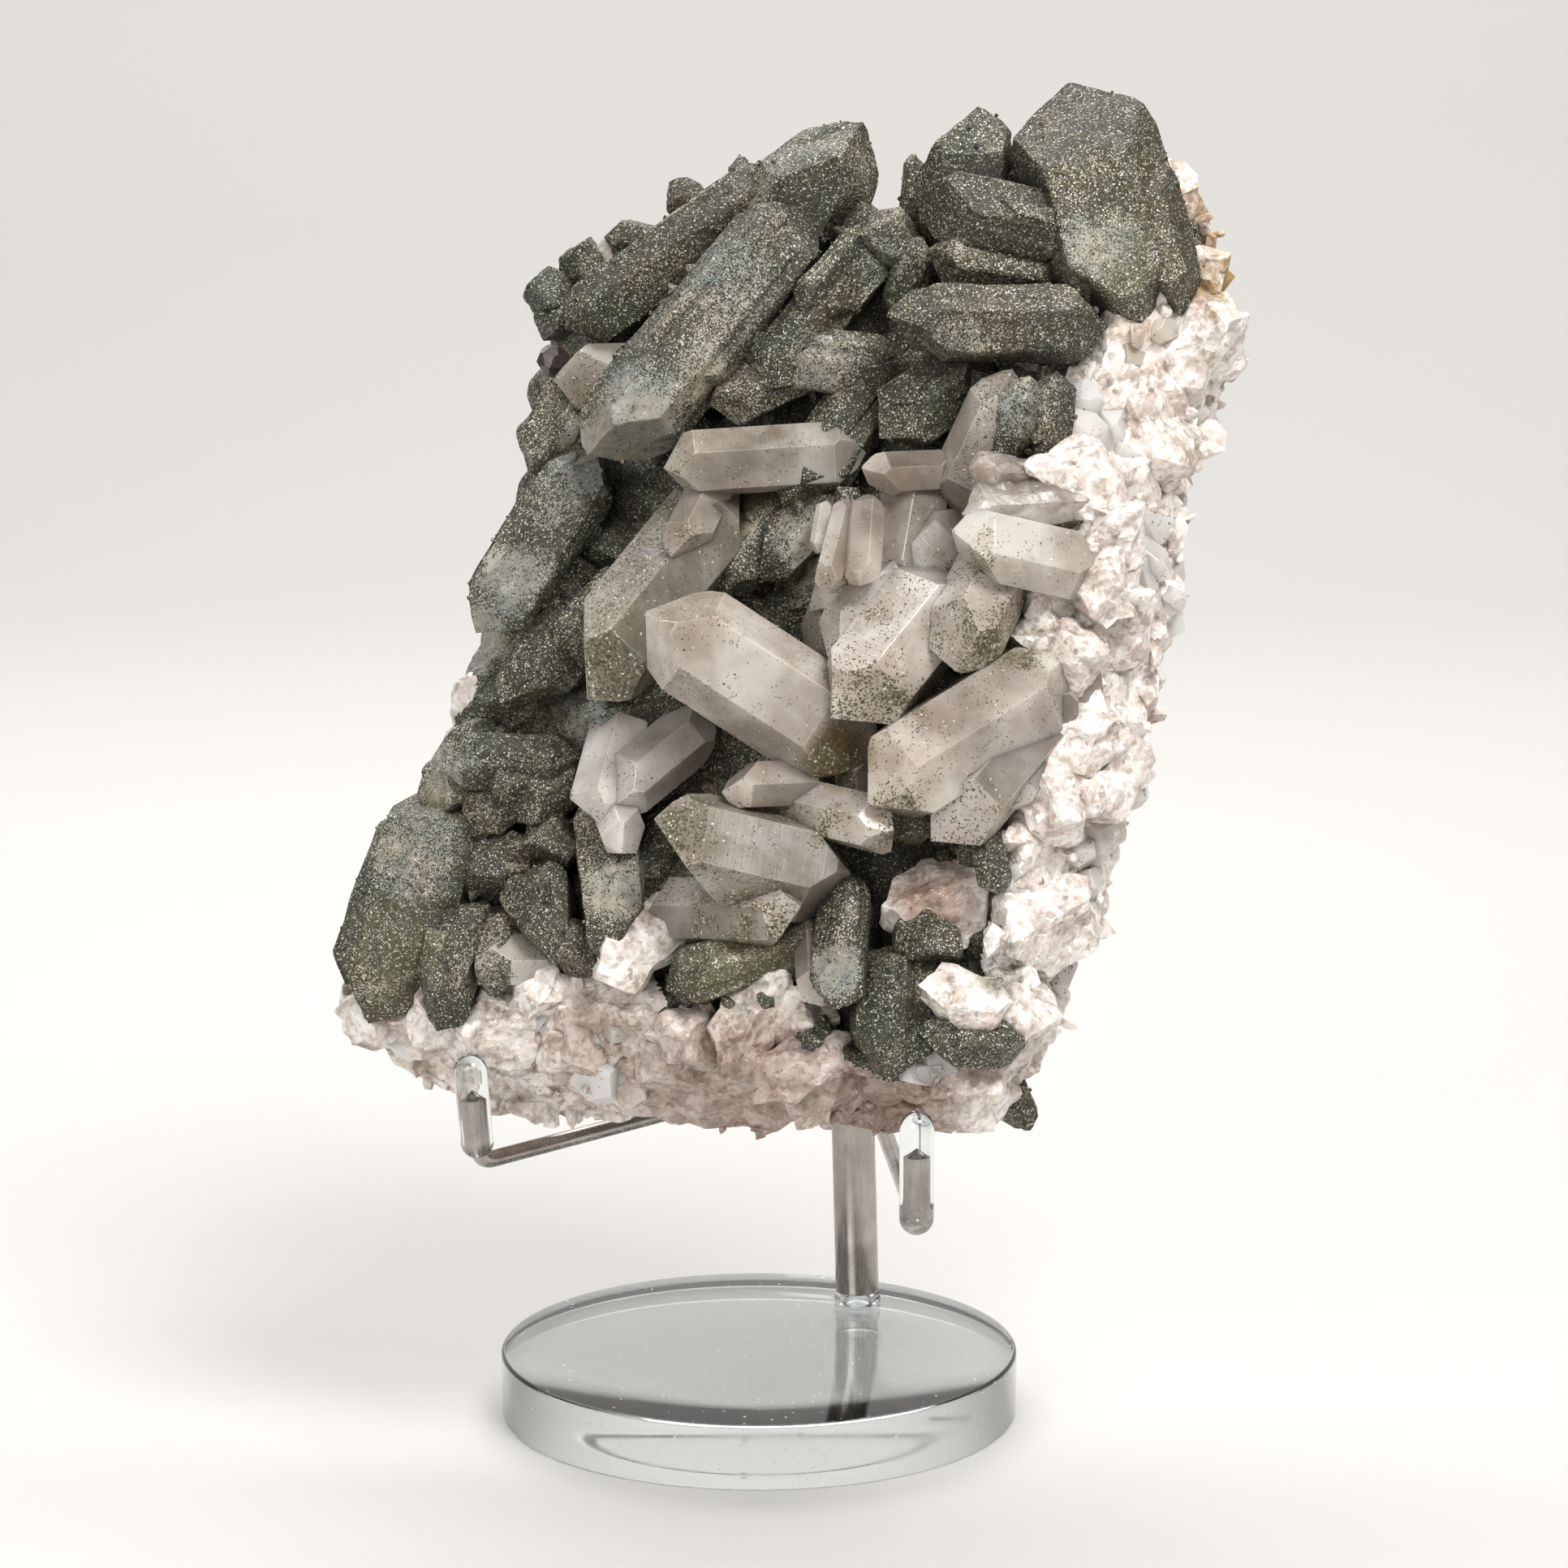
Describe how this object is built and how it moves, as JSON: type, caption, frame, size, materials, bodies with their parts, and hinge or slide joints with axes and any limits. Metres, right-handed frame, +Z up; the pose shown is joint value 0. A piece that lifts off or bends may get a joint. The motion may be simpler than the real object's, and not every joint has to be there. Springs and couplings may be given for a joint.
{
  "type": "quartz crystal cluster on a display stand",
  "caption": "Plate of grown-together quartz crystals with dark green chlorite, leaning back on a clear round stand with a steel post and sleeved wire arms.",
  "frame": {"origin": "centre of the round base, on the surface that the stand rests on", "axes": "+Z up along the height of the display, -Y towards the crystal side that is shown, +X to the viewer's right"},
  "size_m": [0.1185, 0.0947, 0.1798],
  "materials": {
    "acrylic": "clear, polished",
    "steel": "drawn wire and tube, satin",
    "sleeving": "clear, soft, domed ends",
    "quartz": "natural crystal faces, dark green sparkling chlorite on most of them, white broken matrix at the edges"
  },
  "bodies": {
    "root": {"base_disc": "acrylic", "post_collar": "acrylic", "post_tube": "steel", "arm_left": "steel", "arm_right": "steel", "arm_rear": "steel", "sleeve_left": "sleeving", "sleeve_right": "sleeving", "sleeve_rear": "sleeving", "quartz_cluster": "quartz"}
  },
  "joints": []
}
